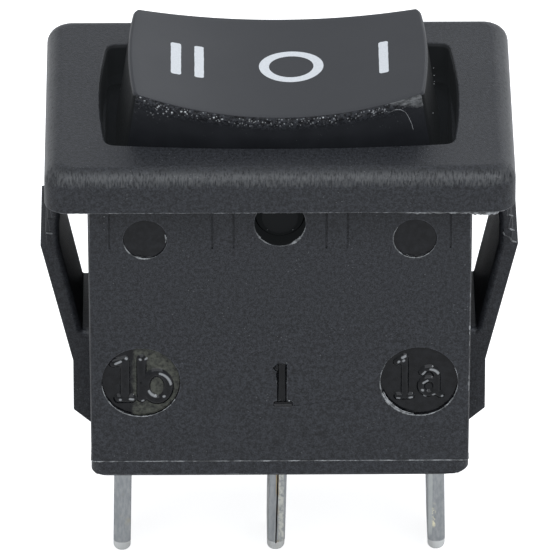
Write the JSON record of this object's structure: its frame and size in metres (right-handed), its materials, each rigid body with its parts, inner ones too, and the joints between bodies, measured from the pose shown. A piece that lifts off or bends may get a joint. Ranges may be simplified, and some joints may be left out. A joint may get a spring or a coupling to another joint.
{
  "type": "rocker switch",
  "caption": "Snap-in rocker switch with a rectangular bezel, a concave rocker that tips both ways from a centre off position, two snap wings and flat blade terminals.",
  "frame": {"origin": "middle of the bezel's underside, on the plane that seats on the panel", "axes": "+X along the rocker towards the I end, +Y towards the back, +Z out of the panel"},
  "size_m": [0.0216, 0.015, 0.0254],
  "materials": {
    "housing_plastic": "black nylon moulding, fine spark texture",
    "base_plastic": "black nylon moulding, matt",
    "rocker_plastic": "black nylon moulding, satin top and glossy sides",
    "nylon": "natural white nylon",
    "spring_steel": "drawn wire",
    "brass_strip": "bright strip",
    "tinned_brass": "dull tin plating over brass",
    "contact_silver": "silver alloy rivet"
  },
  "bodies": {
    "case": {"housing": "housing_plastic", "base": "base_plastic", "common_terminal": "tinned_brass", "left_terminal": "tinned_brass", "right_terminal": "tinned_brass", "left_fixed_contact": "contact_silver", "right_fixed_contact": "contact_silver"},
    "rocker": {"rocker": "rocker_plastic", "plunger_spring": "spring_steel"},
    "plunger": {"plunger": "nylon"},
    "see_saw": {"contact_strip": "brass_strip", "left_moving_contact": "contact_silver", "right_moving_contact": "contact_silver"}
  },
  "joints": [
    {"name": "rocker_tilt", "type": "hinge", "parent": "case", "child": "rocker", "pos_m": [0, 0, -0.00117], "axis": [0, 1, 0], "range_deg": [-12, 12]},
    {"name": "contact_tip", "type": "hinge", "parent": "case", "child": "see_saw", "pos_m": [0, 0, -0.00865], "axis": [0, 1, 0], "range_deg": [-6.6, 6.6]},
    {"name": "plunger_press", "type": "slide", "parent": "rocker", "child": "plunger", "axis": [0, 0, 1], "range_m": [0, 0.0006], "stiffness_N_per_m": 300, "deforming": ["plunger_spring"]}
  ],
  "couplings": [
    {"joint": "contact_tip", "follows": "rocker_tilt", "ratio": -0.55}
  ]
}
